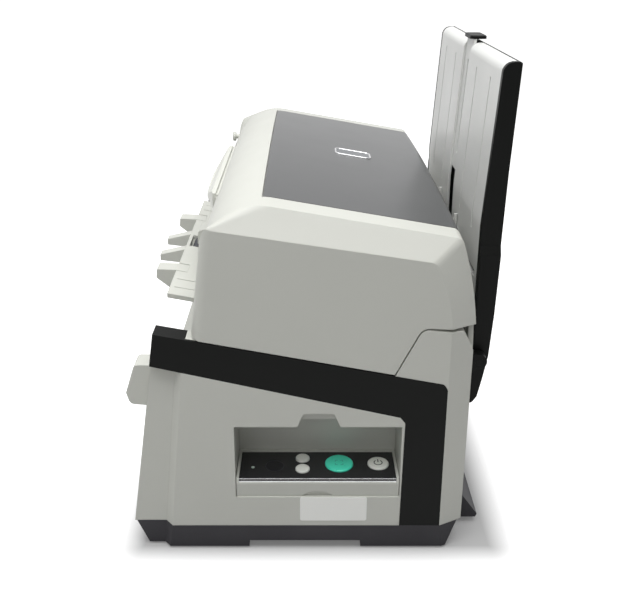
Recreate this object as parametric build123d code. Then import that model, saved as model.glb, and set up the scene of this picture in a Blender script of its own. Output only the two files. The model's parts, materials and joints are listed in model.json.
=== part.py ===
from build123d import *
import os
from math import atan2, cos, radians, sin, sqrt, tan

# Desktop document scanner, millimetres. X runs from the exit side to the paper tray side,
# Y runs across the paper and Z is up. Drawing heights are measured from the floor.

# Body
BODY_WIDTH = 480.0
HALF = BODY_WIDTH / 2
PAN_TOP = 27.0
PAN_FLOOR = 13.0
PAN_STEP = 9.0
PAN_WALL = 5.0
FOOT_PAD = 2.0
FOOT_SIZE = 25.0
FRONT_FOOT_X = -170.0
REAR_X = 141.0
PAN_FRONT_X = -168.0
PAN_REAR_X = 137.0
PAN_DRAFT = (10.5, 1.5)
PAN_RAISED_X = (-61.0, 45.0)
FOOT_BLOCK_WIDE = 78.0
ARM_END_LOW = (-144.5, 195.5)
ARM_END_X = -140.0
ARM_THICK = 20.0
CORNER_STEP = 8.0
STEP_BEVEL = 7.0
STEP_LINE = ((-132.8, 27.0), (-116.4, 188.9))
REAR_CHAMFER_LONG = 21.5
REAR_CHAMFER_DEEP = 10.7
SHELL = 4.0
BAND_DEEP = 3.0
MOUTH_WALL_X = -109.0
LEDGE = [(-160.5, 90.0), (-138.0, 100.0)]
BAY_LEAN = (MOUTH_WALL_X - LEDGE[1][0]) / 124.0
VENT_COUNT = 12
REAR_RECESS_X = 112.0
REAR_RECESS_Z = (104.0, 170.0)

# Parting line between the two halves: a straight line that falls towards the tray
SEAM_RISE = 199.5
SEAM_FALL = tan(radians(10.8))
PATH_LIFT = 3.0
PATH_GAP = 2.0
GUIDE_THICK = 3.0
PAPER_HALF = 155.0
FRAME_INNER = PAPER_HALF + 5.0
DECK_OPEN_HALF = FRAME_INNER + 18.0
GUIDE_HALF = DECK_OPEN_HALF + 8.0

# Cover and its hinge
COVER_FRONT_X = -108.0
COVER_LIFT = 1.0
COVER_FOOT_Z = 160.0
FRONT_LEAN = 0.1233
TOP_FALL = 0.1751
TOP_RISE = 336.6
TOP_CROWN_RADIUS = 4200.0
BEVEL_WIDE = 16.0
COVER_WALL = 5.0
PANEL_SKIN = 2.5
PANEL_HALF = HALF - 40.0
PANEL_FRONT_X = -44.0
PANEL_SEAM = 0.9
HINGE_X = 114.0
HINGE_Z = 212.0
HINGE_PIN_R = 5.0
TOWER_THICK = 26.0
TOWER_GAP = 1.0
REAR_DIP_X = 127.0
DIP_HALF = HALF - 44.0
LUG_THICK = 8.0
HANDLE_HALF = 106.0
HANDLE_Z = (296.0, 314.0)
HANDLE_LIP = 302.0
HANDLE_FLAT = 62.0
HANDLE_FRONT_X = -110.5
HANDLE_BAY_X = -87.0
HANDLE_PIVOT_X = -93.5
HANDLE_PIVOT_Z = 309.0
KNOB_Y = HALF - 60.0
KNOB_Z = 309.0
KNOB_R = 6.0
UPPER_GUIDE_HALF = HALF - 40.0
FRONT_ROLL = 54.0
CORNER_ROUND = 10.0
FOOT_ROUND = 7.0
BADGE_X = 44.0
BADGE_LONG = 40.0
BADGE_WIDE = 26.0
BADGE_RIM = 3.0
BADGE_DEEP = 1.0
BADGE_PROUD = 1.0

# Paper tray
TRAY_HALF = 170.0
TRAY_CHEEK = 6.0
TRAY_PIVOT_X = 157.0
TRAY_PIVOT_Z = 172.0
TRAY_PIN_R = 4.0
TRAY_FRONT_X = 153.0
TRAY_BACK_X = 178.0
TRAY_BEND_Z = 300.0
TRAY_TOP_Z = 449.0
TRAY_WALL = 3.5
TRAY_LEAN = 9.0 / 146.0
FACE_THICK = 3.0
CHANNEL_HALF = 18.0
EXTENSION_THICK = 3.0
GUIDE_FENCE_Y = 52.0
EXTENSION_BACK = 6.0
CAP_DEEP = 17.0
CAP_HIGH = 3.5
TRAY_ROUND = 10.0
FLARE_DEEP = 4.5
FLARE_Z = (275.0, 283.0)
REAR_RECESS_HALF = TRAY_HALF + 6.0
BRACKET_NEAR = 6.6
EAR_R = 7.5
BRACKET_FAR = 17.0

# Fits
RUN_FIT = 0.08
BODY_GAP = 0.4

# Rollers: distance along the path and size
SHAFT_R = 4.0
DRIVE_R = 16.0
ROLLER_PROUD = 0.6
PINCH_R = 8.0
PINCH_SHAFT_R = 3.0
FRONT_ROLLER_X = -60.0
REAR_ROLLER_X = 45.0
PICK_ROLLER_X = 88.0
EXIT_ROLLER_X = -127.5
EXIT_R = 8.0
FRAME_THICK = 3.0
FRAME_LONG = 103.0
PULLEY_R = 9.5
MOTOR_PULLEY_R = 6.0
MOTOR_X = -10.0
MOTOR_Z = 92.0
MOTOR_R = 21.0
MOTOR_SHAFT_R = 3.0
MOTOR_LONG = 46.0
BELT_THICK = 2.0
GLASS_X = (-18.0, 6.0)
TRANSPORT_Y = (80.0,)
PICK_Y = 34.0
TYRE_HALF = 12.0
SLOT_ROOM = 1.5

# Operator panel on its shelf
RECESS_X = (-72.0, 80.0)
RECESS_Z = (59.0, 134.0)
RECESS_DEEP = 48.0
PANEL_SIDE_GAP = 0.5
PANEL_TOP = 75.0
FACE_PLATE = 3.7
RIM_PROUD = 0.8
RIM_SIDE = 2.5
RIM_BACK = 4.0
BUTTON_TRAVEL = 1.2
BUTTON_PROUD = 1.5
BUTTON_FLANGE = 1.5
STEM_SIZE = 4.4
START_AT = (24.6, 24.3 - HALF)
START_R = 13.3
POWER_AT = (61.7, 24.3 - HALF)
POWER_R = 10.0
KEY_R = 6.7
KEY_ONE_AT = (-10.1, 33.0 - HALF)
KEY_TWO_AT = (-10.1, 16.0 - HALF)
BUTTON_SPOTS = ((START_AT, START_R), (POWER_AT, POWER_R), (KEY_ONE_AT, KEY_R), (KEY_TWO_AT, KEY_R))
DISPLAY_AT = (-36.5, 21.0 - HALF)
DISPLAY_R = 8.9
LAMP_AT = (-57.0, 18.5 - HALF)
LAMP_R = 1.6
SWITCH_TOP = RECESS_Z[0] + 6.6

# Exit table
TABLE_X = (-140.0, -106.0)
TABLE_THICK = 4.5
TONGUE_Y = 84.5
TONGUE_WIDE = 19.0
STACKER_FRONT_X = -171.5

# Connectors
INLET_Y = (70.0, 98.0)
INLET_Z = (56.0, 78.0)
SOCKET_Y = ((20.0, 34.0), (-40.0, 0.0))
SOCKET_Z = (58.0, 72.0)

ARM_IN = HALF - ARM_THICK
TOWER_IN = HALF - TOWER_THICK


def seam_z(x):
    return SEAM_RISE - x * SEAM_FALL


def path_z(x):
    return seam_z(x) + PATH_LIFT


def top_z(x):
    return TOP_RISE - x * TOP_FALL


def bay_wall_x(z):
    """Front wall of the exit bay, which leans with the front of the body."""
    return LEDGE[1][0] + (z - LEDGE[1][1]) * BAY_LEAN


def front_x(z):
    return COVER_FRONT_X + FRONT_LEAN * (z - seam_z(COVER_FRONT_X))


def tray_x(z):
    return TRAY_FRONT_X + max(0.0, z - TRAY_BEND_Z) * TRAY_LEAN


def cap_x():
    """Front and rear of the grip on the extension, which is the rearmost piece."""
    front = tray_x(TRAY_TOP_Z) - 1
    return front, front + CAP_DEEP


def block(x0, x1, y0, y1, z0, z1):
    """Box between two corners."""
    return Pos((x0 + x1) / 2, (y0 + y1) / 2, (z0 + z1) / 2) * Box(x1 - x0, y1 - y0, z1 - z0)


def prism(points, y0, y1):
    """Solid with an outline in X and Z, run across the machine."""
    outline = Wire.make_polygon([(x, y0, z) for x, z in points], close=True)
    return extrude(Face(outline), amount=y1 - y0, dir=(0, 1, 0))


def on_side(face, y):
    """Put a flat outline, drawn in X and Z, at one place across the machine."""
    return Plane(origin=(0, y, 0), x_dir=(1, 0, 0), z_dir=(0, -1, 0)) * face


def rounded(points, corners):
    """Flat outline drawn in X and Z, with a radius at some of its corners."""
    face = make_face(Polyline(*points, close=True))
    for index, radius in corners:
        face = fillet(face.vertices().sort_by_distance(points[index])[0], radius)
    return face


def across(face, y0, y1):
    """Solid with a flat outline run across the machine."""
    return extrude(on_side(face, y1), amount=y1 - y0)


def slab(x0, x1, half, low, high, y_mid=0.0):
    """Plate that follows the slope of the parting line."""
    points = [(x0, seam_z(x0) + low), (x1, seam_z(x1) + low),
              (x1, seam_z(x1) + high), (x0, seam_z(x0) + high)]
    return prism(points, y_mid - half, y_mid + half)


def rod(x, z, radius, y0, y1):
    """Round bar across the machine."""
    return Pos(x, (y0 + y1) / 2, z) * Rot(90, 0, 0) * Cylinder(radius, y1 - y0)


def both(shape):
    """The shape and its mirror image on the other side."""
    return [shape, mirror(shape, about=Plane.XZ)]


def cut(shape, tools):
    for tool in tools:
        shape = shape - tool
    return shape


# Base

def pan_end_x(z):
    """Rear face of the pan, which tapers towards the floor."""
    return PAN_REAR_X - PAN_DRAFT[0] * (PAN_TOP - z) / (PAN_TOP - FOOT_PAD)


def base_pan():
    """Black pan that tapers down to four corner blocks."""
    middle = (PAN_FRONT_X + PAN_REAR_X) / 2
    long = PAN_REAR_X - PAN_FRONT_X
    upper = Pos(middle, 0, PAN_TOP) * Rectangle(long, BODY_WIDTH)
    lower = Pos(middle, 0, FOOT_PAD) * Rectangle(long - 2 * PAN_DRAFT[0], BODY_WIDTH - 2 * PAN_DRAFT[1])
    pan = loft([lower.face(), upper.face()])
    pan = pan - block(*PAN_RAISED_X, -HALF, HALF, 0.0, PAN_STEP)
    gap = HALF - FOOT_BLOCK_WIDE
    pan = pan - block(PAN_FRONT_X, PAN_REAR_X, -gap, gap, 0.0, PAN_STEP)
    wall = PAN_DRAFT[0] + PAN_WALL
    side = HALF - CORNER_STEP - PAN_WALL
    pan = pan - block(PAN_FRONT_X + wall, PAN_REAR_X - wall, -side, side, PAN_FLOOR, PAN_TOP + 1)
    return cut(pan, corner_cuts())


def rubber_feet():
    """Flat rubber pads with clipped corners under the four corner blocks."""
    pads = []
    for x in (-130.0, -84.0, 66.0, 104.0):
        pad = Pos(x, 43.0 - HALF, FOOT_PAD / 2) * Box(FOOT_SIZE, FOOT_SIZE, FOOT_PAD)
        pads += both(chamfer(pad.edges().filter_by(Axis.Z), FOOT_SIZE / 4))
    return pads


def tower_outline():
    """Top of the rear hinge tower, from the seam over to the rear wall."""
    return [(72.0, seam_z(72.0)), (94.5, 230.8), (131.0, 226.8), (REAR_X, 206.0)]


def side_face():
    """Side of the lower half with its tower."""
    points = [(FRONT_FOOT_X, PAN_TOP), ARM_END_LOW, (ARM_END_X, seam_z(ARM_END_X)), *tower_outline(),
              (REAR_X, PAN_TOP)]
    return rounded(points, [(4, 9.0), (5, 8.0)])


def corner_cuts():
    """Tools that set the side walls in at the front and chamfer the rear corners."""
    (low_x, low_z), (high_x, high_z) = STEP_LINE
    slope = (high_x - low_x) / (high_z - low_z)
    foot = low_x - slope * low_z
    reach = HALF - CORNER_STEP
    back = -200.0
    outer = Wire.make_polygon([(back, -HALF, 0), (foot, -HALF, 0), (high_x, -HALF, high_z),
                               (back, -HALF, high_z + 19.5)])
    inner = Wire.make_polygon([(back, -reach, 0), (foot - STEP_BEVEL, -reach, 0),
                               (high_x - STEP_BEVEL, -reach, high_z + 1.6), (back, -reach, high_z + 19.5)])
    step = loft([Face(outer), Face(inner)], ruled=True)
    plan = [(REAR_X - REAR_CHAMFER_LONG, -HALF), (REAR_X + 2, -HALF + REAR_CHAMFER_DEEP + 1),
            (REAR_X + 2, -HALF)]
    chamfered = extrude(make_face(Polyline(*plan, close=True)), amount=300.0)
    return both(step) + both(chamfered)


def band_face():
    """Outline of the black inlay: along the seam and down the rear column."""
    points = [ARM_END_LOW, (ARM_END_X, seam_z(ARM_END_X)), (115.5, seam_z(115.5)), (119.0, 172.0),
              (119.0, PAN_TOP), (81.0, PAN_TOP), (82.5, 138.0), (78.0, 143.7)]
    return rounded(points, [(2, 4.0), (3, 6.0), (6, 3.0)])


def arm_outline():
    low_slope = (143.7 - ARM_END_LOW[1]) / (78.0 - ARM_END_LOW[0])
    back_x = -112.0
    low_z = ARM_END_LOW[1] + low_slope * (back_x - ARM_END_LOW[0])
    return [ARM_END_LOW, (ARM_END_X, seam_z(ARM_END_X)), (back_x, seam_z(back_x)), (back_x, low_z)]


def lower_housing():
    """Light lower shell with the exit bay between its arms and a bay for the tray at the rear."""
    body = across(side_face(), -HALF, HALF)
    exit_bay = [(-200, 88.0)] + LEDGE + [(MOUTH_WALL_X, 224.0), (MOUTH_WALL_X, 270.0), (-200, 270.0)]
    over_deck = [(MOUTH_WALL_X - 1, seam_z(MOUTH_WALL_X - 1)), (150.0, seam_z(150.0)),
                 (150.0, 270.0), (MOUTH_WALL_X - 1, 270.0)]
    body = body - prism(exit_bay, -ARM_IN, ARM_IN)
    body = body - prism(over_deck, -TOWER_IN, TOWER_IN)
    roof = 5.0
    rear_in = REAR_X - SHELL
    bay_in = REAR_RECESS_X - SHELL
    wall_top = MOUTH_WALL_X + SHELL
    hollow = [(FRONT_FOOT_X + 5, PAN_TOP - 1), (-155.5, 88.0), (-134.0, 101.0), (wall_top - 2, 214.0),
              (wall_top, seam_z(wall_top) - roof), (bay_in, seam_z(bay_in) - roof),
              (bay_in, REAR_RECESS_Z[0] - SHELL), (rear_in, REAR_RECESS_Z[0] - SHELL), (rear_in, PAN_TOP - 1)]
    inner_half = HALF - CORNER_STEP - SHELL
    body = body - prism(hollow, -inner_half, inner_half)
    body = body - block(REAR_RECESS_X, REAR_X + 1, -REAR_RECESS_HALF, REAR_RECESS_HALF, *REAR_RECESS_Z)
    deck_open = slab(-104.0, 106.0, DECK_OPEN_HALF, -roof - 1, 1.0)
    body = body - deck_open
    pocket = block(RECESS_X[0] - SHELL, RECESS_X[1] + SHELL, -HALF + BAND_DEEP, -HALF + RECESS_DEEP + SHELL,
                   RECESS_Z[0] - SHELL, RECESS_Z[1] + SHELL)
    notch_back = block(-22.0, 32.0, -HALF + 1, -HALF + 18, RECESS_Z[1], 152.0)
    body = body + pocket + notch_back
    recess = block(*RECESS_X, -HALF - 1, -HALF + RECESS_DEEP, *RECESS_Z)
    finger = rounded([(-15.0, RECESS_Z[1] - 1), (-9.3, 147.4), (18.5, 147.4), (24.7, RECESS_Z[1] - 1)],
                     [(1, 3.0), (2, 3.0)])
    body = cut(body, [recess, across(finger, -HALF - 1, -HALF + 14)])
    for side in both(across(band_face(), -HALF - 1, -HALF + BAND_DEEP)):
        body = body - side
    for side in both(prism(arm_outline(), -HALF - 1, -ARM_IN + 1)):
        body = body - side
    for bore in both(rod(HINGE_X, HINGE_Z, HINGE_PIN_R, -HALF + 3, -TOWER_IN + 1)):
        body = body - bore
    body = body - block(rear_in - 3, REAR_X + 4, *INLET_Y, *INLET_Z)
    for y0, y1 in SOCKET_Y:
        body = body - block(rear_in - 3, REAR_X + 4, y0, y1, *SOCKET_Z)
    for i in range(VENT_COUNT):
        y = -REAR_RECESS_HALF + 12.0 + 8.0 * i
        body = body - block(rear_in - 1, REAR_X + 1, y, y + 3.0, 46.0, 90.0)
    return cut(body, corner_cuts())


def side_band(near):
    """Black inlay along the seam, with the arm at its front and the column at its rear."""
    band = across(band_face(), -HALF, -HALF + BAND_DEEP) + prism(arm_outline(), -HALF, -ARM_IN)
    band = band - block(*RECESS_X, -HALF - 1, -HALF + RECESS_DEEP, *RECESS_Z) if near else band
    return band if near else mirror(band, about=Plane.XZ)


def rear_skirt():
    """Low black wedge behind the pan that keeps the rear off a wall."""
    line_low = 6.0
    points = [(REAR_X, 41.0), (147.0, 32.6), (163.5, 9.5), (162.0, line_low), (pan_end_x(line_low), line_low),
              (PAN_REAR_X, PAN_TOP), (REAR_X, PAN_TOP)]
    return prism(points, 40.0 - HALF, HALF - 40.0)


def stacker_hooks():
    """Two light hooks in the exit bay that carry the output stacker."""
    low, high = 146.0, 186.0
    points = [(bay_wall_x(low), low), (-152.0, 145.0), (STACKER_FRONT_X + 3, 146.5), (STACKER_FRONT_X, 158.0),
              (-162.5, high), (bay_wall_x(high), high)]
    hook = across(rounded(points, [(2, 6.0), (4, 4.0)]), -ARM_IN, -ARM_IN + 22.0)
    return both(hook)


# Connectors at the rear


def power_inlet():
    shell = block(112.0, REAR_X + 1.5, INLET_Y[0], INLET_Y[1], *INLET_Z)
    mouth = block(118.0, REAR_X + 3, INLET_Y[0] + 2.5, INLET_Y[1] - 2.5, INLET_Z[0] + 2.5, INLET_Z[1] - 2.5)
    shell = shell - mouth
    y_mid = sum(INLET_Y) / 2
    z_mid = sum(INLET_Z) / 2
    for dy, dz in ((-7.0, -2.0), (0.0, 3.0), (7.0, -2.0)):
        shell = shell + block(117.0, 134.0, y_mid + dy - 1, y_mid + dy + 1, z_mid + dz - 2, z_mid + dz + 2)
    return shell


def interface_sockets():
    sockets = []
    for y0, y1 in SOCKET_Y:
        shell = block(118.0, REAR_X + 1.0, y0, y1, *SOCKET_Z)
        shell = shell - block(124.0, REAR_X + 2, y0 + 2, y1 - 2, SOCKET_Z[0] + 2, SOCKET_Z[1] - 2)
        tongue = block(123.0, REAR_X - 1, y0 + 4.5, y1 - 4.5, SOCKET_Z[0] + 5.5, SOCKET_Z[1] - 5.5)
        sockets.append(shell + tongue)
    return sockets


# Operator panel

def panel_x():
    return RECESS_X[0] + PANEL_SIDE_GAP, RECESS_X[1] - PANEL_SIDE_GAP


def button_holes(low, high, extra):
    return [Pos(x, y, (low + high) / 2) * Cylinder(r + extra, high - low) for (x, y), r in BUTTON_SPOTS]


def panel_housing():
    """Shelf box with a sloped nose, a finger relief under it and wells for the keys."""
    x0, x1 = panel_x()
    back = -HALF + RECESS_DEEP
    rim = PANEL_TOP + FACE_PLATE + RIM_PROUD
    points = [(-HALF + 1.5, RECESS_Z[0]), (back, RECESS_Z[0]), (back, rim), (-HALF + 1.0, rim),
              (-HALF, PANEL_TOP - 1.5)]
    outline = Wire.make_polygon([(x0, y, z) for y, z in points], close=True)
    box = extrude(Face(outline), amount=x1 - x0, dir=(1, 0, 0))
    box = box - block(x0 + 3, x1 - 3, -HALF + 4, back - 3, RECESS_Z[0] + 3, PANEL_TOP - 3)
    box = box - block(x0 + RIM_SIDE, x1 - RIM_SIDE, -HALF - 1, back - RIM_BACK, PANEL_TOP, rim + 1)
    relief = Pos((x0 + x1) / 2, -HALF, RECESS_Z[0] - 14) * Rot(90, 0, 0) * Cylinder(20.0, 6.0)
    box = box - relief
    for (x, y), r in BUTTON_SPOTS:
        room = r + BODY_GAP
        box = box - block(x - room, x + room, y - room, y + room, PANEL_TOP - 4, PANEL_TOP + 1)
    return box


def panel_face():
    x0, x1 = panel_x()
    edge = RIM_SIDE + 0.2
    plate = block(x0 + edge, x1 - edge, -HALF + 2.2, -HALF + RECESS_DEEP - RIM_BACK - 0.2, PANEL_TOP,
                  PANEL_TOP + FACE_PLATE)
    plate = cut(plate, button_holes(PANEL_TOP - 1, PANEL_TOP + FACE_PLATE + 1, BODY_GAP))
    for (x, y), r in ((DISPLAY_AT, DISPLAY_R), (LAMP_AT, LAMP_R)):
        plate = plate - Pos(x, y, PANEL_TOP + FACE_PLATE / 2) * Cylinder(r, FACE_PLATE + 1)
    return plate


def panel_trim():
    x0, x1 = panel_x()
    return block(x0 + RIM_SIDE, x1 - RIM_SIDE, -HALF + 0.8, -HALF + 2.2, PANEL_TOP,
                 PANEL_TOP + FACE_PLATE + 0.2)


def panel_round(at, radius, proud):
    low = PANEL_TOP
    high = PANEL_TOP + FACE_PLATE + proud
    return Pos(at[0], at[1], (low + high) / 2) * Cylinder(radius, high - low)


def button(at, radius):
    """Cap with a hidden flange and a stem that reaches its switch."""
    top = PANEL_TOP + FACE_PLATE + BUTTON_PROUD
    under = PANEL_TOP - 3 - BODY_GAP
    cap = Pos(at[0], at[1], (top + under) / 2) * Cylinder(radius, top - under)
    cap = chamfer(cap.edges().group_by(Axis.Z)[-1], 0.7)
    side = 2 * (radius + BUTTON_FLANGE)
    flange = Pos(at[0], at[1], under - 1) * Box(side, side, 2.0)
    stem_low = SWITCH_TOP + BUTTON_TRAVEL + BODY_GAP
    stem = Pos(at[0], at[1], (under + stem_low) / 2) * Box(STEM_SIZE, STEM_SIZE, under - stem_low)
    return cap + flange + stem


def panel_board():
    """Small board on the floor of the shelf with a switch under each key."""
    x0, x1 = panel_x()
    board = block(x0 + 8, x1 - 8, -HALF + 7, -HALF + RECESS_DEEP - 6, RECESS_Z[0] + 3, RECESS_Z[0] + 4.6)
    for (x, y), r in BUTTON_SPOTS:
        board = board + block(x - 3, x + 3, y - 3, y + 3, RECESS_Z[0] + 4.6, SWITCH_TOP)
    return board


# Paper path

def roller_z(x, radius):
    return path_z(x) + ROLLER_PROUD - radius


def pinch_z(x):
    return path_z(x) + ROLLER_PROUD + 0.3 + PINCH_R


def tyre_slots(x, radius, reach, centres, low, high):
    """Slots for tyres that stand a given reach past the guide's hidden face, along its slope."""
    depth = radius - reach
    half = sqrt(radius ** 2 - depth ** 2) + SLOT_ROOM
    middle = x + depth * SEAM_FALL / (1 + SEAM_FALL ** 2)
    slots = []
    for y in centres:
        for y_mid in (-y, y):
            slots.append(slab(middle - half, middle + half, TYRE_HALF + 2, low, high, y_mid))
    return slots


def lower_guide():
    plate = slab(TABLE_X[1], 118.0, GUIDE_HALF, 0.0, GUIDE_THICK)
    lip = prism([(118.0, seam_z(118)), (146.0, seam_z(146)), (146.0, seam_z(146) + 2), (118.0, seam_z(118) + 3)],
                -PAPER_HALF, PAPER_HALF)
    plate = plate + lip
    reach = ROLLER_PROUD + GUIDE_THICK
    for x, centres in ((FRONT_ROLLER_X, TRANSPORT_Y), (REAR_ROLLER_X, TRANSPORT_Y),
                       (PICK_ROLLER_X, (PICK_Y,))):
        plate = cut(plate, tyre_slots(x, DRIVE_R, reach, centres, -1, GUIDE_THICK + 1))
    plate = plate - slab(GLASS_X[0] - 0.3, GLASS_X[1] + 0.3, PAPER_HALF + 0.3, -1, GUIDE_THICK + 1)
    return plate


def lower_glass():
    return slab(GLASS_X[0], GLASS_X[1], PAPER_HALF, -0.2, GUIDE_THICK)


def scan_unit(low, high):
    x0, x1 = GLASS_X[0] - 8, GLASS_X[1] + 8
    return slab(x0, x1, FRAME_INNER, low, high)


def lower_scan_unit():
    unit = scan_unit(-38.0, -0.2)
    slot = slab(GLASS_X[0] + 6, GLASS_X[1] - 6, PAPER_HALF - 4, -20.0, 1.0)
    return unit - slot


def upper_scan_unit():
    low = PATH_LIFT + PATH_GAP + GUIDE_THICK
    unit = scan_unit(low, low + 38.0)
    slot = slab(GLASS_X[0] + 6, GLASS_X[1] - 6, PAPER_HALF - 4, low - 1, low + 20.0)
    return unit - slot


def upper_glass():
    low = PATH_LIFT + PATH_GAP
    return slab(GLASS_X[0], GLASS_X[1], PAPER_HALF, low, low + GUIDE_THICK)


def drive_shaft(x, radius, centres, pulley):
    """Shaft with its rubber tyres and, at the near end, its toothed pulley."""
    z = roller_z(x, radius)
    end = FRAME_INNER + FRAME_THICK + 1
    shaft = rod(x, z, SHAFT_R, -end - (10.0 if pulley else 0.0), end)
    if pulley:
        shaft = shaft + rod(x, z, PULLEY_R, -end - 8.0, -end)
    for y in centres:
        for tyre in both(rod(x, z, radius, -y - TYRE_HALF, -y + TYRE_HALF)):
            shaft = shaft + tyre
    return shaft


def exit_roller():
    z = roller_z(EXIT_ROLLER_X, EXIT_R)
    return rod(EXIT_ROLLER_X, z, EXIT_R, -16.0, 16.0) + rod(EXIT_ROLLER_X, z, PINCH_SHAFT_R, -27.0, 27.0)


def pinch_rollers(x):
    z = pinch_z(x)
    end = max(TRANSPORT_Y) + 26.0
    shaft = rod(x, z, PINCH_SHAFT_R, -end, end)
    for y in TRANSPORT_Y:
        for tyre in both(rod(x, z, PINCH_R, -y - 9.0, -y + 9.0)):
            shaft = shaft + tyre
    return shaft


def side_frame(near):
    """Metal plate that carries the shafts on one side."""
    points = [(-FRAME_LONG, PAN_FLOOR), (FRAME_LONG, PAN_FLOOR), (FRAME_LONG, seam_z(FRAME_LONG)),
              (-FRAME_LONG, seam_z(-FRAME_LONG))]
    y0, y1 = -FRAME_INNER - FRAME_THICK, -FRAME_INNER
    plate = prism(points, y0, y1)
    for x in (FRONT_ROLLER_X, REAR_ROLLER_X, PICK_ROLLER_X):
        plate = plate - rod(x, roller_z(x, DRIVE_R), SHAFT_R + RUN_FIT, y0 - 1, y1 + 1)
    plate = plate - rod(MOTOR_X, MOTOR_Z, MOTOR_SHAFT_R + RUN_FIT, y0 - 1, y1 + 1) if near else plate
    for x0, x1, z0, z1 in ((-90.0, -40.0, 35.0, 130.0), (30.0, 85.0, 35.0, 125.0)):
        window = chamfer(block(x0, x1, y0 - 1, y1 + 1, z0, z1).edges().filter_by(Axis.Y), 10.0)
        plate = plate - window
    return plate if near else mirror(plate, about=Plane.XZ)


def drive_motor():
    y1 = -FRAME_INNER
    can = rod(MOTOR_X, MOTOR_Z, MOTOR_R, y1 + 3, y1 + MOTOR_LONG)
    flange = block(MOTOR_X - 22, MOTOR_X + 22, y1, y1 + 3, MOTOR_Z - 22, MOTOR_Z + 22)
    return can + flange - rod(MOTOR_X, MOTOR_Z, MOTOR_SHAFT_R + RUN_FIT, y1 - 1, y1 + 12)


def motor_pulley():
    end = FRAME_INNER + FRAME_THICK + 1
    pulley = rod(MOTOR_X, MOTOR_Z, MOTOR_PULLEY_R, -end - 8.0, -end)
    return pulley + rod(MOTOR_X, MOTOR_Z, MOTOR_SHAFT_R, -end - 9.0, -FRAME_INNER + 10)


def drive_belt():
    """Toothed belt round the motor pulley and the two transport pulleys."""
    end = FRAME_INNER + FRAME_THICK + 1
    rounds = ((MOTOR_X, MOTOR_Z, MOTOR_PULLEY_R), (FRONT_ROLLER_X, roller_z(FRONT_ROLLER_X, DRIVE_R), PULLEY_R),
              (REAR_ROLLER_X, roller_z(REAR_ROLLER_X, DRIVE_R), PULLEY_R))
    loops = []
    for extra in (0.3 + BELT_THICK, 0.3):
        circles = [Pos(x, z) * Circle(r + extra).edge() for x, z, r in rounds]
        loops.append(make_hull(circles))
    flat = loops[0] - loops[1]
    upright = Plane(origin=(0, -end - 1.0, 0), x_dir=(1, 0, 0), z_dir=(0, -1, 0))
    return extrude(upright * flat, amount=6.0)


def main_board():
    y0 = FRAME_INNER + FRAME_THICK
    board = block(-96.0, 96.0, y0, y0 + 1.6, 30.0, 150.0)
    chips = ((-70, -30, 60, 100, 3), (0, 28, 70, 98, 4), (50, 80, 45, 60, 9), (50, 80, 110, 122, 9),
             (-85, -20, 120, 128, 8))
    for x0, x1, z0, z1, h in chips:
        board = board + block(x0, x1, y0 + 1.6, y0 + 1.6 + h, z0, z1)
    return board


def power_supply():
    can = block(-100.0, 55.0, 10.0, 110.0, PAN_FLOOR, 62.0)
    for i in range(9):
        x = -90.0 + i * 16.0
        can = can - block(x, x + 6, 9.0, 13.0, 24.0, 52.0)
    return can


# Exit table


def exit_table():
    """Grooved table over the exit bay, with gussets below and a slot for the exit roller."""
    top = PATH_LIFT
    front, back = TABLE_X
    low = top - TABLE_THICK
    lean_fall = SEAM_FALL * BAY_LEAN
    rest_z = (SEAM_RISE - SEAM_FALL * (LEDGE[1][0] - LEDGE[1][1] * BAY_LEAN)) / (1 + lean_fall)
    outline = [(front, path_z(front)), (back, path_z(back)), (back, seam_z(back)), (bay_wall_x(rest_z), rest_z),
               (bay_wall_x(rest_z + low), rest_z + low), (front, seam_z(front) + low)]
    plate = prism(outline, -PAPER_HALF, PAPER_HALF)
    for y in (PAPER_HALF - 39.0, PAPER_HALF - 18.0):
        for groove in both(slab(front + 4, back - 3, 0.8, top - 0.8, top + 1, -y)):
            plate = plate - groove
    plate = plate - slab(EXIT_ROLLER_X - EXIT_R - 1, EXIT_ROLLER_X + EXIT_R + 1, 18.0, low - 4, top + 1)
    for pocket in both(slab(front - 1, front + 11, TONGUE_WIDE / 2 + 1.5, low - 3, top + 1, -TONGUE_Y)):
        plate = plate - pocket
    for y in (-60.0, 60.0):
        gusset = [(front + 9, seam_z(front + 9) + low + 1), (bay_wall_x(rest_z + low), rest_z + low),
                  (bay_wall_x(196.0), 196.0), (front + 9, seam_z(front + 9) - 5)]
        plate = plate + prism(gusset, y - 1.5, y + 1.5)
    z = roller_z(EXIT_ROLLER_X, EXIT_R)
    for ear in both(block(EXIT_ROLLER_X - 6, EXIT_ROLLER_X + 6, -26.0, -20.0, z - 6, seam_z(EXIT_ROLLER_X))):
        plate = plate + ear
    plate = plate - rod(EXIT_ROLLER_X, z, PINCH_SHAFT_R + RUN_FIT, -28.0, 28.0)
    return plate


def exit_tongues():
    """Tongues that lead the sheets off the front edge of the table."""
    front = TABLE_X[0]
    z = path_z(front)
    root = front + 11
    flat = [(root, z - 21), (root, path_z(root) - 0.3), (front, z), (-160.0, z + 0.8), (-161.0, z - 8.5),
            (-147.0, z - 20)]
    falling = [(front, z - 16), (front, z), (-167.0, z - 6), (-167.0, z - 12.5), (-148.0, z - 15)]
    tongues = []
    near = -TONGUE_Y - TONGUE_WIDE / 2
    for points, tip, y0, y1 in ((flat, flat[3], near, near + TONGUE_WIDE),
                                (falling, falling[2], -32.0, -19.0)):
        tongue = prism(points, y0, y1)
        hollow = [(front - 2, z - 30), (front - 2, z - 3), (tip[0] + 3, tip[1] - 3), (tip[0] + 3, z - 30)]
        tongues += both(tongue - prism(hollow, y0 + 2, y1 - 2))
    return tongues


# Cover

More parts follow.
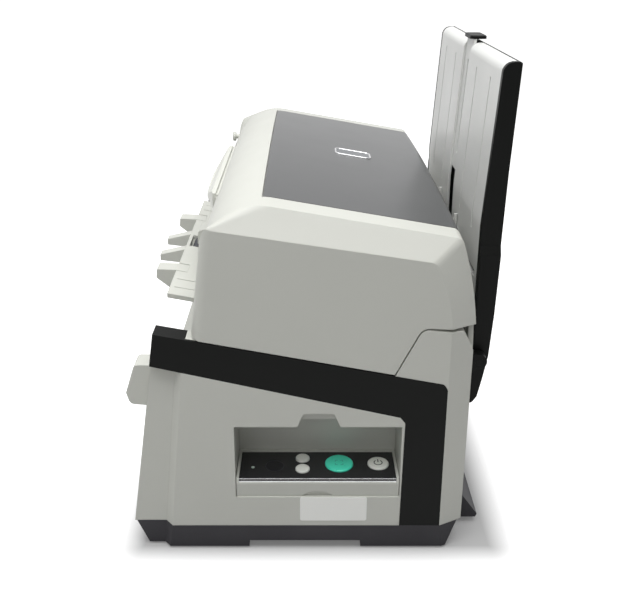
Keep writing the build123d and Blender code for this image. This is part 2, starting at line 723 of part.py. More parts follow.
def cover_profile(inset, drop, side):
    """Outline of the cover at its side face or behind the bevel, with rolled corners."""
    if side:
        top_front = (front_x(322.0) + 1.0 + inset, 322.0 - inset)
        top_rear = (103.0 - inset, 292.0 - inset)
        rear_mid = (114.5 - inset, 262.0)
        rear_low = (120.5 - inset, 200.0)
        radii = (5.0, 9.0)
    else:
        corner_z = (top_z(front_x(0.0) + inset) - drop) / (1 + FRONT_LEAN * TOP_FALL)
        top_front = (front_x(corner_z) + inset, corner_z - inset)
        top_rear = (126.5 - inset, top_z(126.5) - inset - drop)
        rear_mid = (137.5 - inset, 267.0)
        rear_low = (144.0 - inset, 200.0)
        radii = (FRONT_ROLL - inset, 8.0)
    start = (front_x(COVER_FOOT_Z) + inset, COVER_FOOT_Z)
    end = (rear_low[0], COVER_FOOT_Z)
    edges = [Line(start, top_front), Line(top_front, top_rear), ThreePointArc(top_rear, rear_mid, rear_low),
             Line(rear_low, end), Line(end, start)]
    face = make_face(edges)
    front_corner = face.vertices().sort_by_distance(top_front)[0]
    face = fillet(front_corner, radii[0])
    rear_corner = face.vertices().sort_by_distance(top_rear)[0]
    return fillet(rear_corner, radii[1])


def cover_solid(inset):
    """Whole outer form: a crowned middle with bevelled ends."""
    middle_half = HALF - BEVEL_WIDE - inset * 0.4
    drop = middle_half ** 2 / (2 * TOP_CROWN_RADIUS)
    low = cover_profile(inset, drop, False)
    end = cover_profile(inset, 0.0, True)
    sections = [on_side(low, -middle_half).face(), on_side(cover_profile(inset, 0.0, False), 0.0).face(),
                on_side(low, middle_half).face()]
    middle = loft(sections)
    near = loft([on_side(low, -middle_half).face(), on_side(end, -HALF + inset).face()], ruled=True)
    return middle + near + mirror(near, about=Plane.XZ)


def cover_rounding():
    """Tools that round the cover's two upright front corners and its lower front edge."""
    radius = CORNER_ROUND
    x = front_x(0.0)
    square = Pos(x + radius / 2 - 1, -HALF + radius / 2 - 1) * Rectangle(radius + 2, radius + 2)
    corner = square - Pos(x + radius, -HALF + radius) * Circle(radius)
    corner = corner & Pos(x + radius / 2 - 5, -HALF + radius / 2 - 5) * Rectangle(radius + 10, radius + 10)
    upright = extrude(corner, amount=380.0, dir=(FRONT_LEAN, 0, 1))
    lowest = seam_z(COVER_FRONT_X) + COVER_LIFT
    tip = (front_x(lowest), lowest)
    kept = rounded([(front_x(300.0), 300.0), tip, (tip[0] + 100, tip[1] - 100 * SEAM_FALL),
                    (tip[0] + 100, 300.0)],
                   [(1, FOOT_ROUND)])
    around = Pos(tip[0] + 3, tip[1] + 2) * Rectangle(16.0, 16.0)
    return both(upright) + [across(around - kept, -HALF - 1, HALF + 1)]


def upper_housing():
    """Cover shell with a bevelled edge, a roll at the front and a seat for the dark top panel."""
    outer = cover_solid(0.0)
    body = outer - cover_solid(COVER_WALL)
    body = body - panel_space(PANEL_SEAM)
    under = [(-200.0, seam_z(-200) + COVER_LIFT), (160.0, seam_z(160) + COVER_LIFT), (160.0, 100.0),
             (-200.0, 100.0)]
    body = body - prism(under, -HALF - 1, HALF + 1)
    return cut(body, cover_rounding())


def panel_space(grow):
    """Skin of the top that the dark panel fills, rolled over the rear edge."""
    skin = cover_solid(0.0) - cover_solid(PANEL_SKIN)
    region = block(PANEL_FRONT_X - grow, 160.0, -PANEL_HALF - grow, PANEL_HALF + grow, 292.0 - grow, 400.0)
    return skin & region


def top_panel():
    return panel_space(0.0)


def housing_details(body):
    """Openings, hinge lugs, handle bay and knob seat of the cover shell."""
    points = [*tower_outline()[:2], (125.0, 229.4), (170.0, 225.0), (170.0, 150.0), (72.0, 150.0)]
    notch = offset(rounded(points, [(1, 9.0)]), TOWER_GAP + 0.2, kind=Kind.INTERSECTION)
    for side in both(across(notch, -HALF - 5, -TOWER_IN + TOWER_GAP)):
        body = body - side
    rear_gap = [(100.0, seam_z(100.0) - 9), (100.0, seam_z(100.0) + COVER_LIFT), (REAR_DIP_X - 6, 192.0),
                (160.0, 192.0), (160.0, 150.0)]
    body = body - prism(rear_gap, -TOWER_IN - 2, TOWER_IN + 2)
    dip = [(REAR_DIP_X, 150.0), (REAR_DIP_X, 276.0), (REAR_DIP_X + 2, 284.0), (160.0, 290.0), (160.0, 150.0)]
    back = [(REAR_DIP_X - COVER_WALL, 192.0), (REAR_DIP_X - COVER_WALL, 290.0), (REAR_DIP_X + 3, 292.0),
            (REAR_DIP_X + 3, 285.0), (REAR_DIP_X, 276.0), (REAR_DIP_X, 192.0)]
    body = body - prism(dip, -DIP_HALF, DIP_HALF)
    body = body + prism(back, -TOWER_IN + TOWER_GAP, TOWER_IN - TOWER_GAP)
    closing = [(REAR_DIP_X - COVER_WALL, 240.0), (REAR_DIP_X - COVER_WALL, 292.0), (134.0, 292.0),
               (134.0, 240.0)]
    for side in both(prism(closing, -HALF + BEVEL_WIDE + 6, -DIP_HALF - 1)):
        body = body + (side & cover_solid(1.0))
    mouth_z = path_z(COVER_FRONT_X)
    mouth = [(-125.0, 150.0), (-125.0, mouth_z + 7), (-98.0, mouth_z + 5), (-98.0, 150.0)]
    body = body - prism(mouth, -GUIDE_HALF - 2, GUIDE_HALF + 2)
    lug = [(104.5, HINGE_Z), (104.5, 250.0), (112.0, 292.0), (REAR_DIP_X - 1, 292.0), (REAR_DIP_X - 1, 215.0),
           (123.5, HINGE_Z)]
    y0 = -TOWER_IN + TOWER_GAP
    shape = prism(lug, y0, y0 + LUG_THICK) + rod(HINGE_X, HINGE_Z, 9.8, y0, y0 + LUG_THICK)
    shape = shape - rod(HINGE_X, HINGE_Z, HINGE_PIN_R + RUN_FIT, y0 - 1, y0 + LUG_THICK + 1)
    for part in both(shape):
        body = body + part
    low, high = HANDLE_Z
    wide = HANDLE_HALF + BODY_GAP
    bay_back = block(-99.0, HANDLE_BAY_X + 4, -HANDLE_HALF - 8, HANDLE_HALF + 8, low - 6, high + 8)
    bay = block(-120.0, HANDLE_BAY_X, -wide, wide, low - 2, high + 4)
    body = (body + (bay_back & cover_solid(1.0))) - bay
    body = body - rod(HANDLE_PIVOT_X, HANDLE_PIVOT_Z, 2.0 + RUN_FIT, -HANDLE_HALF - 5, HANDLE_HALF + 5)
    knob_hole = Pos(-98.0, KNOB_Y, KNOB_Z) * Rot(0, 90, 0) * Cylinder(3.0, 30.0)
    return body - knob_hole


def front_knob():
    head_x = front_x(KNOB_Z) - 0.4
    stem = Pos(head_x + 3.0, KNOB_Y, KNOB_Z) * Rot(0, 90, 0) * Cylinder(3.0, 9.0)
    head = Pos(head_x - 2.5, KNOB_Y, KNOB_Z) * Rot(0, 90, 0) * Cylinder(KNOB_R, 4.0)
    return stem + chamfer(head.edges().group_by(Axis.X)[0], 1.0)


def release_handle():
    """Pull bar with ramped ends and a sloped top, which turns on a rod along its top edge."""
    z0, z1 = HANDLE_Z
    half = HANDLE_HALF - 1.0
    back = -98.5
    shoulder = HANDLE_FRONT_X + 1.7
    bow = [Line((back, half), (shoulder, HANDLE_FLAT)),
           ThreePointArc((shoulder, HANDLE_FLAT), (HANDLE_FRONT_X, 0), (shoulder, -HANDLE_FLAT)),
           Line((shoulder, -HANDLE_FLAT), (back, -half)), Line((back, -half), (back, half))]
    outer = extrude(Pos(0, 0, z0) * make_face(bow), amount=z1 - z0)
    top = prism([(HANDLE_FRONT_X - 2, HANDLE_LIP), (shoulder, HANDLE_LIP), (back - 1.5, z1 + 0.2),
                 (HANDLE_FRONT_X - 2, z1 + 0.2)], -half, half)
    under = prism([(HANDLE_FRONT_X - 2, z0 - 1), (-102.0, z0 - 1), (-104.0, z0 + 2.5), (shoulder, z0 + 1)],
                  6.0 - half, half - 6.0)
    plate = block(back - 0.1, -95.5, -half, half, z0, z1)
    barrel = rod(HANDLE_PIVOT_X, HANDLE_PIVOT_Z, 3.8, -half, half)
    pins = rod(HANDLE_PIVOT_X, HANDLE_PIVOT_Z, 2.0, -HANDLE_HALF - 4, HANDLE_HALF + 4)
    return outer - top - under + plate + barrel + pins


def badge_place():
    angle = atan2(TOP_FALL, 1.0)
    along = (cos(angle), 0, -sin(angle))
    upward = (sin(angle), 0, cos(angle))
    return Plane(origin=(BADGE_X, 0, top_z(BADGE_X)), x_dir=along, z_dir=upward)


def badge_frame():
    inner = SlotOverall(BADGE_LONG - 2 * BADGE_RIM, BADGE_WIDE - 2 * BADGE_RIM)
    ring = SlotOverall(BADGE_LONG, BADGE_WIDE) - inner
    place = badge_place()
    return extrude(place * Pos(0, 0, -BADGE_DEEP) * ring, amount=BADGE_DEEP + BADGE_PROUD, dir=place.z_dir)


def badge_inset():
    place = badge_place()
    flat = SlotOverall(BADGE_LONG - 2 * BADGE_RIM, BADGE_WIDE - 2 * BADGE_RIM)
    return extrude(place * Pos(0, 0, -BADGE_DEEP) * flat, amount=BADGE_DEEP + 0.2, dir=place.z_dir)


def badge_pocket():
    place = badge_place()
    slot = SlotOverall(BADGE_LONG, BADGE_WIDE)
    return extrude(place * Pos(0, 0, -BADGE_DEEP) * slot, amount=10.0, dir=place.z_dir)


def upper_guide():
    """Plate that closes the cover's underside and leads the sheets in at the rear."""
    low = PATH_LIFT + PATH_GAP
    high = low + GUIDE_THICK
    front = COVER_FRONT_X + COVER_WALL + 1.6
    points = [(front, seam_z(front) + low), (108.0, seam_z(108) + low), (121.5, 193.5), (121.5, 199.0),
              (106.0, seam_z(106) + high), (front, seam_z(front) + high)]
    plate = prism(points, -UPPER_GUIDE_HALF, UPPER_GUIDE_HALF)
    for x in (FRONT_ROLLER_X, REAR_ROLLER_X):
        for y in TRANSPORT_Y:
            for y_mid in (-y, y):
                plate = plate - slab(x - PINCH_R - 1, x + PINCH_R + 1, TYRE_HALF + 2, low - 1, high + 1, y_mid)
    for y_mid in (-PICK_Y, PICK_Y):
        plate = plate - slab(PICK_ROLLER_X - 12.0, PICK_ROLLER_X + 12.0, TYRE_HALF + 2, low - 1, high + 2, y_mid)
    plate = plate - slab(GLASS_X[0] - 0.3, GLASS_X[1] + 0.3, PAPER_HALF + 0.3, low - 1, high + 1)
    for x in (FRONT_ROLLER_X, REAR_ROLLER_X):
        z = pinch_z(x)
        y = max(TRANSPORT_Y) + 18.0
        ear = block(x - 6, x + 6, -y - 3, -y + 3, seam_z(x) + high - 1, z + 6)
        for part in both(ear):
            plate = plate + part
        room = PINCH_SHAFT_R + RUN_FIT
        plate = plate - block(x - room, x + room, -y - 4, y + 4, z - room, z + 10)
        plate = plate - slab(x - 4.5, x + 4.5, max(TRANSPORT_Y) + 14.0, high - 2.0, high + 1)
    return plate


def separation_pads():
    """Two sprung pads over the pick tyres."""
    low = PATH_LIFT + ROLLER_PROUD + 0.4
    pads = []
    for y in (-PICK_Y, PICK_Y):
        pads.append(slab(PICK_ROLLER_X - 11.5, PICK_ROLLER_X + 11.5, TYRE_HALF + 1.9, low, low + 8.0, y))
    return pads


def exit_pinch_block():
    """Rounded block over the exit roller, carried by the cover's front wall."""
    z = path_z(EXIT_ROLLER_X) + ROLLER_PROUD + 0.6
    points = [(-128.0, z + 2), (-126.5, z), (-119.0, z), (-107.0, z + 3), (front_x(z + 4), z + 5),
              (front_x(z + 18), z + 18), (-117.0, z + 19), (-126.5, z + 16)]
    return across(rounded(points, [(6, 5.0), (7, 2.0)]), -14.0, 14.0)


# Paper tray

def tray_outline():
    """Side of the tray: folded up, with its skirt below the pivot."""
    return [(TRAY_FRONT_X, TRAY_PIVOT_Z + 12), (TRAY_FRONT_X, TRAY_BEND_Z), (tray_x(TRAY_TOP_Z), TRAY_TOP_Z),
            (TRAY_BACK_X, TRAY_TOP_Z), (174.0, 352.0), (172.0, 268.0), (170.5, 215.0), (168.0, 172.0),
            (164.0, 148.0), (160.0, 128.0), (154.0, 119.0), (150.0, 124.0), (149.0, 145.0),
            (150.0, TRAY_PIVOT_Z - 4)]


def tray_shell():
    """Black tray back with its two cheeks, a centre channel and the skirt below the pivot."""
    profile = rounded(tray_outline(), [(2, TRAY_ROUND), (3, 2.0), (10, 3.0)])
    body = across(profile, -TRAY_HALF, TRAY_HALF)
    front = TRAY_FRONT_X
    top = TRAY_TOP_Z - 5
    front_top = tray_x(top)
    back_top = TRAY_BACK_X - TRAY_WALL
    tub = [(front - 20, 192.0), (front + 13, 192.0), (167.0, 268.0), (169.0, 352.0), (back_top, TRAY_TOP_Z + 1),
           (front - 20, TRAY_TOP_Z + 1)]
    inner = TRAY_HALF - TRAY_CHEEK
    body = body - prism(tub, -inner, inner)
    low_tub = [(140.0, 118.0), (156.0, 124.0), (160.0, 150.0), (163.5, 172.0), (164.5, 186.0), (140.0, 186.0)]
    body = body - prism(low_tub, -inner, inner)
    for y in (-CHANNEL_HALF - 3.0, CHANNEL_HALF):
        rail = [(front + FACE_THICK, 192.0), (front + FACE_THICK, TRAY_BEND_Z), (front_top + FACE_THICK, top),
                (back_top, top), (171.0, 352.0), (169.0, 268.0), (front + 14, 192.0)]
        body = body + prism(rail, y, y + 3.0)
    depth = EXTENSION_BACK
    floor = [(front + depth, 192.0), (front + depth, TRAY_BEND_Z), (front_top + depth, top),
             (back_top, top), (171.0, 352.0), (169.0, 268.0), (front + 14, 192.0)]
    body = body + prism(floor, -CHANNEL_HALF, CHANNEL_HALF)
    low_side = profile & Pos(160.0, FLARE_Z[1] / 2) * Rectangle(100.0, FLARE_Z[1])
    flare_out = -TRAY_HALF - FLARE_DEEP
    flare = across(low_side, flare_out, -TRAY_HALF)
    bevel = Wire.make_polygon([(100.0, flare_out - 1, FLARE_Z[0] - 1.6), (100.0, -TRAY_HALF, FLARE_Z[1]),
                               (100.0, flare_out - 1, FLARE_Z[1] + 1)], close=True)
    flare = flare - extrude(Face(bevel), amount=100.0, dir=(1, 0, 0))
    for part in both(flare):
        body = body + part
    for pin in both(rod(TRAY_PIVOT_X, TRAY_PIVOT_Z, TRAY_PIN_R, -TRAY_HALF - BRACKET_FAR, -TRAY_HALF + 2)):
        body = body + pin
    return body


def tray_face(near):
    """Light face half with two long grooves, rolled over the top of the tray."""
    top = TRAY_TOP_Z
    low = 192.0
    thick = FACE_THICK
    back = TRAY_BACK_X - TRAY_WALL - 0.2
    points = [(TRAY_FRONT_X, low), (TRAY_FRONT_X, TRAY_BEND_Z), (tray_x(top), top), (back, top),
              (back, top - thick),
              (tray_x(top - thick) + thick, top - thick), (TRAY_FRONT_X + thick, TRAY_BEND_Z),
              (TRAY_FRONT_X + thick, low)]
    profile = rounded(points, [(2, TRAY_ROUND), (5, TRAY_ROUND - thick)])
    face = across(profile, -TRAY_HALF + TRAY_CHEEK, -CHANNEL_HALF)
    for y in (45.0 - TRAY_HALF, 110.0 - TRAY_HALF):
        groove = [(TRAY_FRONT_X - 1, 286.0), (TRAY_FRONT_X - 1, TRAY_BEND_Z), (tray_x(top - 19) - 1, top - 19),
                  (tray_x(top - 19) + 1.2, top - 19), (TRAY_FRONT_X + 1.2, TRAY_BEND_Z),
                  (TRAY_FRONT_X + 1.2, 286.0)]
        face = face - prism(groove, y - 1.6, y + 1.6)
    track = block(TRAY_FRONT_X - 1, TRAY_FRONT_X + thick + 1, 18.0 - TRAY_HALF, 6.0 - GUIDE_FENCE_Y,
                  246.0, 252.0)
    face = face - track
    return face if near else mirror(face, about=Plane.XZ)


def side_guide(near):
    """Fence that slides along the track in its face half."""
    y = -GUIDE_FENCE_Y
    x = TRAY_FRONT_X - BODY_GAP
    base = block(x - 1.6, x, y - 9, y + 7, 238.0, 262.0)
    fence = prism([(x, 236.0), (x - 4.8, 240.0), (x - 5.4, 266.0), (x - 3, 276.5), (x, 276.5)],
                  y - 1.2, y + 1.2)
    tongue = block(x - 1, TRAY_FRONT_X + FACE_THICK + 1.4, y - 5, y + 3, 246.0 + BODY_GAP, 252.0 - BODY_GAP)
    keeper = block(TRAY_FRONT_X + FACE_THICK + BODY_GAP, TRAY_FRONT_X + FACE_THICK + 2.4, y - 7, y + 5,
                   242.0, 256.0)
    guide = base + fence + tongue + keeper
    return guide if near else mirror(guide, about=Plane.XZ)


def lean_slab(low, high, x0, x1, half):
    """Plate along the leaning upper part of the tray, between two depths behind its face."""
    points = [(tray_x(low) + x0, low), (tray_x(low) + x1, low), (tray_x(high) + x1, high),
              (tray_x(high) + x0, high)]
    return prism(points, -half, half)


def tray_extension():
    back = EXTENSION_BACK - BODY_GAP
    front = back - EXTENSION_THICK
    plate = lean_slab(312.0, TRAY_TOP_Z + CAP_HIGH, front, back, CHANNEL_HALF - BODY_GAP)
    groove = lean_slab(330.0, 430.0, 0.0, front + 1.0, 3.0)
    return plate - groove


def extension_cap():
    """Black grip on the end of the extension."""
    x0, x1 = cap_x()
    low = TRAY_TOP_Z + CAP_HIGH
    cap = block(x0, x1, -CHANNEL_HALF, CHANNEL_HALF, low, low + CAP_HIGH)
    cap = fillet(cap.edges().filter_by(Axis.Z), 4.0)
    return chamfer(cap.edges().group_by(Axis.Z)[-1], 1.0)


def tray_brackets():
    """Ears on the rear wall that hold the tray's pins."""
    y0 = -TRAY_HALF - BRACKET_FAR
    y1 = -TRAY_HALF - BRACKET_NEAR
    nose = EAR_R - 0.3
    ear = prism([(REAR_X, 150.0), (REAR_X, 184.0), (155.0, TRAY_PIVOT_Z + nose), (155.0, TRAY_PIVOT_Z - nose)],
                y0, y1)
    ear = ear + rod(TRAY_PIVOT_X, TRAY_PIVOT_Z, EAR_R, y0, y1)
    ear = ear - rod(TRAY_PIVOT_X, TRAY_PIVOT_Z, TRAY_PIN_R + RUN_FIT, y0 - 1, y1 + 1)
    return both(ear)


def cover_hinge_pins():
    return both(rod(HINGE_X, HINGE_Z, HINGE_PIN_R, -HALF + 3, -TOWER_IN + 1 + LUG_THICK))


def frame_screws():
    """Hexagon screws that hold the side frames."""
    screws = []
    for x in (-95.0, 95.0):
        head = Pos(x, -FRAME_INNER - FRAME_THICK, 26.0) * Rot(90, 0, 0) * RegularPolygon(4.4, 6)
        screws += both(extrude(head, amount=2.4, dir=(0, -1, 0)))
    return screws


parts = {
    "base_pan": base_pan(),
    "rubber_feet": rubber_feet(),
    "lower_housing": lower_housing(),
    "near_side_band": side_band(True),
    "far_side_band": side_band(False),
    "rear_skirt": rear_skirt(),
    "stacker_hooks": stacker_hooks(),
    "power_inlet": power_inlet(),
    "interface_sockets": interface_sockets(),
    "panel_housing": panel_housing(),
    "panel_face": panel_face(),
    "panel_trim": panel_trim(),
    "panel_board": panel_board(),
    "panel_display": panel_round(DISPLAY_AT, DISPLAY_R, 0.0),
    "status_lamp": panel_round(LAMP_AT, LAMP_R, 0.4),
    "start_button": button(START_AT, START_R),
    "power_button": button(POWER_AT, POWER_R),
    "upper_key": button(KEY_ONE_AT, KEY_R),
    "lower_key": button(KEY_TWO_AT, KEY_R),
    "near_side_frame": side_frame(True),
    "far_side_frame": side_frame(False),
    "lower_guide": lower_guide(),
    "lower_glass": lower_glass(),
    "lower_scan_unit": lower_scan_unit(),
    "front_transport_rollers": drive_shaft(FRONT_ROLLER_X, DRIVE_R, TRANSPORT_Y, True),
    "rear_transport_rollers": drive_shaft(REAR_ROLLER_X, DRIVE_R, TRANSPORT_Y, True),
    "pick_rollers": drive_shaft(PICK_ROLLER_X, DRIVE_R, (PICK_Y,), False),
    "exit_roller": exit_roller(),
    "drive_motor": drive_motor(),
    "motor_pulley": motor_pulley(),
    "drive_belt": drive_belt(),
    "main_board": main_board(),
    "power_supply": power_supply(),
    "exit_table": exit_table(),
    "exit_tongues": exit_tongues(),
    "upper_housing": housing_details(upper_housing()),
    "top_panel": top_panel() - badge_pocket(),
    "badge_frame": badge_frame(),
    "badge_inset": badge_inset(),
    "release_handle": release_handle(),
    "front_knob": front_knob(),
    "upper_guide": upper_guide(),
    "upper_glass": upper_glass(),
    "upper_scan_unit": upper_scan_unit(),
    "front_pinch_rollers": pinch_rollers(FRONT_ROLLER_X),
    "rear_pinch_rollers": pinch_rollers(REAR_ROLLER_X),
    "separation_pads": separation_pads(),
    "exit_pinch_block": exit_pinch_block(),
    "tray_shell": tray_shell(),
    "near_tray_face": tray_face(True),
    "far_tray_face": tray_face(False),
    "near_side_guide": side_guide(True),
    "far_side_guide": side_guide(False),
    "tray_extension": tray_extension(),
    "extension_cap": extension_cap(),
    "tray_brackets": tray_brackets(),
    "cover_hinge_pins": cover_hinge_pins(),
    "frame_screws": frame_screws(),
}


# The origin is under the middle of the whole scanner
MIDDLE_X = (STACKER_FRONT_X + cap_x()[1]) / 2

os.makedirs("parts", exist_ok=True)
for name, shape in parts.items():
    group = shape if isinstance(shape, list) else [shape]
    solids = [s for item in group for s in item.solids()]
    moved = [Pos(-MIDDLE_X, 0, 0) * s for s in solids]
    result = moved[0] if len(moved) == 1 else Compound(children=moved)
    export_step(result, f"parts/{name}.step")
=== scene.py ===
import json
import math

import bpy
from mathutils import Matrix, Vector

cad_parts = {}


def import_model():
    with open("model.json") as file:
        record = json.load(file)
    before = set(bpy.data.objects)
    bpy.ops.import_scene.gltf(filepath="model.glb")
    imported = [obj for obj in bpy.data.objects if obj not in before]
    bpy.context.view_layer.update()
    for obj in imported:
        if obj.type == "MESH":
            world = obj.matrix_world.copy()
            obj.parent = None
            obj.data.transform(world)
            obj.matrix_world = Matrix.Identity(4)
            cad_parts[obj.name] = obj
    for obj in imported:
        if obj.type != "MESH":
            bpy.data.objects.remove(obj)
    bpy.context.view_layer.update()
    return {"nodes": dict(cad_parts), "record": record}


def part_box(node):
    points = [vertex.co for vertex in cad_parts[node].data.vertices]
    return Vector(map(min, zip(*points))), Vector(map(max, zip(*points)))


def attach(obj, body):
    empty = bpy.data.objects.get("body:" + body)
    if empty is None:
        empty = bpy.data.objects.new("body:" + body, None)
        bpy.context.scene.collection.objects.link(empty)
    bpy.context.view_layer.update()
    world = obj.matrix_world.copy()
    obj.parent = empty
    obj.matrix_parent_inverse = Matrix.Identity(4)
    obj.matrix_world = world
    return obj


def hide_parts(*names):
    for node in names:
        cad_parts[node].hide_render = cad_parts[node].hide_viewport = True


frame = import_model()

MM = 0.001
FOUR_CORNERS = ((-1, -1), (1, -1), (1, 1), (-1, 1))

# Camera: from the near side, above the cover, looking down at the object's middle
CAMERA_AT = (-0.0103, -0.890, 0.541)
CAMERA_DOWN = 20.1
CAMERA_LENS = 46.8
CAMERA_SENSOR = 36.0
CAMERA_SHIFT = (0.022, -0.07)

# World: its light on the object, the dim room that the gloss shows, and where that room ends
AMBIENT = 0.15
ROOM_GLOSS = 0.12
ROOM_EDGE = (-0.35, 0.25)

# Lamps: name, place, point that it faces, width and depth, power, and whether the gloss shows it
LAMPS = (
    ("top_soft", (-0.1, -0.4, 1.9), (0.0, -0.1, 0.2), (1.8, 1.8), 44.0, True),
    ("left_fill", (-1.7, 0.0, 0.9), (0.0, 0.0, 0.25), (1.4, 1.2), 5.0, True),
    ("rear_fill", (0.9, 1.7, 1.1), (0.0, 0.1, 0.2), (1.2, 1.0), 6.0, False),
    ("front_fill", (-0.3, -1.7, 1.2), (0.0, -0.2, 0.15), (1.2, 0.8), 5.0, True),
)

# Floor: half its width, its drop under the feet, its colour and its finish
FLOOR_HALF = 12.0
FLOOR_DROP = 0.4 * MM
FLOOR_ALBEDO = 0.35
FLOOR_ROUGH = 0.9
FLOOR_SPECULAR = 0.1

# Glow of the floor near and far, and the distances from the footprint over which it rises; held low near the
# footprint, it paints a shade round the object on top of the floor's real shadow
FLOOR_GLOW = (0.03, 1.0)
FLOOR_GLOW_REACH = (-4 * MM, 35 * MM)

# Half of the footprint in x and y, with a z that no point of the floor passes; the floor's painted shade is
# measured from it
SHADE_FOOTPRINT_HALF = (0.165, 0.235, 1.0)

# Sticker on the near side wall: its centre's x and z, and its size
SIDE_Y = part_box("lower_housing")[0].y
STICKER_AT = (0.0154, 0.0458)
STICKER_SIZE = (62.5 * MM, 26.4 * MM)
STICKER_CORNER = 2 * MM
STICKER_THICK = 0.2 * MM

# Symbol on the power key, with its gap in degrees on each side of the stroke
POWER_RADIUS = 3.8 * MM
POWER_LINE = 0.9 * MM
POWER_GAP = 35
POWER_STROKE = 4.8 * MM
POWER_STROKE_OUT = 3 * MM
POWER_INK = 0.12 * MM

# Symbol on the start key and ring on the display window
START_HALF = 3.6 * MM
START_STROKE = 2.6 * MM
START_LINE = 0.44 * MM
DISPLAY_LINE = 0.35 * MM
DISPLAY_LINE_IN = 0.3 * MM
FINE_INK = 0.08 * MM

# Hairlines on the front edge of the key panel: bright metal lines that paint the highlights along its edges
LOW_HIGHLIGHT_LINE = 0.8 * MM
HIGH_HIGHLIGHT_LINE = 0.35 * MM
LINE_PROUD = 0.15 * MM

# Badge on the top panel, which falls towards +X by this much for each metre
PANEL_FALL = 0.1751
BADGE_SIZE = (40 * MM, 26 * MM)
BADGE_CORNER = 5.5 * MM
BADGE_RISE = 0.4 * MM
BADGE_PLATE_IN = 2 * MM
BADGE_PLATE_DEEP = 0.5 * MM
BADGE_PLATE_THICK = 0.8 * MM

# Section of the badge's rim in millimetres: distance in from the outline, and height
BADGE_RIM = (
    (0.0, -0.6), (0.0, 0.4), (0.25, 0.8), (0.8, 1.0),
    (1.5, 0.95), (2.0, 0.6), (2.2, 0.1), (2.2, -0.6),
)

# Noise in the finishes: scale and detail
CLOUDS = (7.0, 4.0)
PLASTIC_WEAR = (23.0, 5.0)
METAL_WEAR = (40.0, 4.0)
GLASS_SMEAR = (30.0, 5.0)
FINE_DETAIL = 3.0

# Parts of the noise that count, and the shades, roughness and depths they give
NOISE_BAND = (0.3, 0.7)
SPECKLE_BAND = (0.45, 0.75)
SPECKLE_SHADE = 0.55
BRUSH_SHADES = (0.88, 1.06)
METAL_WEAR_DOWN = 0.06
METAL_WEAR_UP = 0.08
GLASS_ROUGH = (0.02, 0.09)
GRAIN_DEPTH = 0.1 * MM
BRUSH_DEPTH = 0.05 * MM
BEVEL_SAMPLES = 4

# Sockets of a Mix node for each kind of data: first input, second input, result
MIX_SOCKETS = {"FLOAT": (2, 3, 0), "RGBA": (6, 7, 2)}


def tone(text):
    """Linear colour from a display colour such as 96978E."""
    parts = [int(text[i:i + 2], 16) / 255 for i in (0, 2, 4)]
    return [c / 12.92 if c <= 0.04045 else ((c + 0.055) / 1.055) ** 2.4 for c in parts] + [1.0]


def shaded(colour, factor):
    """Colour made darker or paler."""
    return [min(1.0, c * factor) for c in colour[:3]] + [1.0]


# Node helpers

def start(name):
    """New material with its tree and its surface shader."""
    material = bpy.data.materials.new(name)
    material.use_nodes = True
    tree = material.node_tree
    return material, tree, tree.nodes["Principled BSDF"]


def place(tree):
    """Object coordinates, in metres."""
    return tree.nodes.new("ShaderNodeTexCoord").outputs["Object"]


def stretched(tree, scale):
    """Object coordinates with their own scale on each axis, for brushing."""
    mapping = tree.nodes.new("ShaderNodeMapping")
    mapping.inputs["Scale"].default_value = scale
    tree.links.new(place(tree), mapping.inputs["Vector"])
    return mapping.outputs["Vector"]


def noise(tree, scale, detail, where=None):
    """Noise over the object coordinates, or over the ones given."""
    made = tree.nodes.new("ShaderNodeTexNoise")
    made.inputs["Scale"].default_value = scale
    made.inputs["Detail"].default_value = detail
    tree.links.new(where or place(tree), made.inputs["Vector"])
    return made.outputs["Fac"]


def remap(tree, value, low, high, band=NOISE_BAND):
    """Value spread from low to high while it crosses the band, and held outside it."""
    made = tree.nodes.new("ShaderNodeMapRange")
    made.inputs["From Min"].default_value = band[0]
    made.inputs["From Max"].default_value = band[1]
    made.inputs["To Min"].default_value = low
    made.inputs["To Max"].default_value = high
    tree.links.new(value, made.inputs["Value"])
    return made.outputs["Result"]


def blend(tree, kind, factor, first, second):
    """Mix of two numbers or two colours, each a plain one or a socket."""
    made = tree.nodes.new("ShaderNodeMix")
    made.data_type = kind
    tree.links.new(factor, made.inputs["Factor"])
    first_input, second_input, result = MIX_SOCKETS[kind]
    for index, value in ((first_input, first), (second_input, second)):
        if isinstance(value, bpy.types.NodeSocket):
            tree.links.new(value, made.inputs[index])
        else:
            made.inputs[index].default_value = value
    return made.outputs[result]


def combined(tree, operation, first, second):
    """Result of a Math operation on two sockets."""
    made = tree.nodes.new("ShaderNodeMath")
    made.operation = operation
    tree.links.new(first, made.inputs[0])
    tree.links.new(second, made.inputs[1])
    return made.outputs[0]


def rays_of(tree, kinds):
    """One for rays of the named kinds and nothing for the rest."""
    light_path = tree.nodes.new("ShaderNodeLightPath")
    total = light_path.outputs[kinds[0]]
    for kind in kinds[1:]:
        total = combined(tree, "MAXIMUM", total, light_path.outputs[kind])
    return total


def rounded_bump(tree, shader, height, strength, depth, edge):
    """Fine relief over softly rounded edges."""
    bump = tree.nodes.new("ShaderNodeBump")
    bump.inputs["Strength"].default_value = strength
    bump.inputs["Distance"].default_value = depth
    tree.links.new(height, bump.inputs["Height"])
    if edge:
        bevel = tree.nodes.new("ShaderNodeBevel")
        bevel.samples = BEVEL_SAMPLES
        bevel.inputs["Radius"].default_value = edge
        tree.links.new(bevel.outputs["Normal"], bump.inputs["Normal"])
    tree.links.new(bump.outputs["Normal"], shader.inputs["Normal"])


# Families of material

